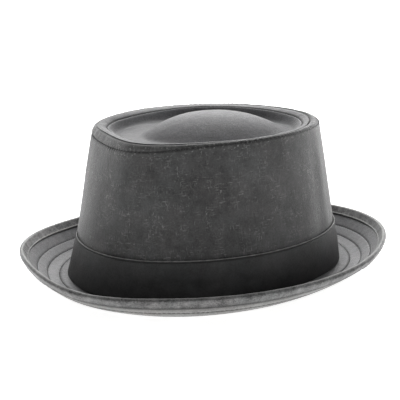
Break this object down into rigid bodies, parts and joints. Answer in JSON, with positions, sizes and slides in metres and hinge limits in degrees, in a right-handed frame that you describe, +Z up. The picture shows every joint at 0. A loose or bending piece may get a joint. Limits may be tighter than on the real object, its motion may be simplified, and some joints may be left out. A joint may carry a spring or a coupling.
{
  "type": "porkpie hat",
  "caption": "Pork pie hat of waxed cloth with a domed, channelled crown, a plain band and a short upturned brim with a bound edge, worn on a head.",
  "frame": {"origin": "middle of the surface that the hat stands on, under the middle of its outline", "axes": "+Z up through the crown, +Y towards the back of the hat, -Y the front over the wearer's brow, +X the wearer's left"},
  "size_m": [0.247, 0.2772, 0.1185],
  "materials": {
    "crown_cloth": "waxed cotton, worn matt charcoal with scuffs",
    "tip_cloth": "waxed cotton, matt grey with a soft sheen",
    "band_cloth": "dark waxed cotton with a worn folded edge",
    "brim_cloth": "waxed cotton, cool grey, stitched in rows",
    "underbrim_cloth": "waxed cotton, worn grey-brown",
    "binding_cloth": "waxed cotton strip, worn light along its fold"
  },
  "bodies": {
    "root": {"crown_side": "crown_cloth", "crown_tip": "tip_cloth", "band": "band_cloth", "brim_upper": "brim_cloth", "brim_under": "underbrim_cloth", "brim_binding": "binding_cloth"}
  },
  "joints": []
}
